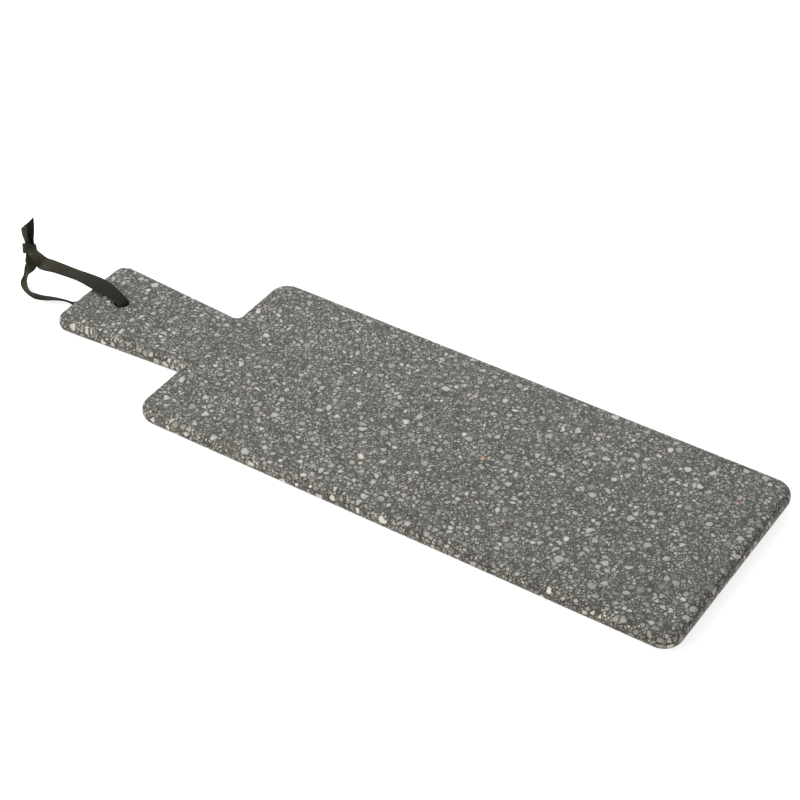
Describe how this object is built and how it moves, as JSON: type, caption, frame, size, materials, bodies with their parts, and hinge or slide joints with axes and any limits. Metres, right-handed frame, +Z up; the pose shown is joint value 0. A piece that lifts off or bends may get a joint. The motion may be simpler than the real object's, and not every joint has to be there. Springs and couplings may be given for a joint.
{
  "type": "terrazzo serving board with strap",
  "caption": "Rectangular speckled terrazzo serving board with rounded edges, a paddle handle, a leather hanging strap knotted through a hole in the handle, and rubber feet.",
  "frame": {"origin": "on the table, under the middle of the board's length and width", "axes": "+X along the board, away from the handle; +Y across it; +Z up through its thickness"},
  "size_m": [0.5075, 0.15, 0.0416],
  "materials": {
    "terrazzo": "satin",
    "foot_rubber": "matte",
    "strap_leather": "matte"
  },
  "bodies": {
    "board": {"board": "terrazzo", "foot_handle_near": "foot_rubber", "foot_handle_far": "foot_rubber", "foot_end_near": "foot_rubber", "foot_end_far": "foot_rubber"},
    "strap": {"strap_upper_run": "strap_leather", "strap_lower_run": "strap_leather", "strap_knot": "strap_leather", "strap_tail_front": "strap_leather", "strap_tail_back": "strap_leather"}
  },
  "joints": [
    {"name": "strap_swing", "type": "hinge", "parent": "board", "child": "strap", "pos_m": [-0.1985, 0, 0.008], "axis": [0, 0, 1], "range_deg": [-45, 8]}
  ]
}
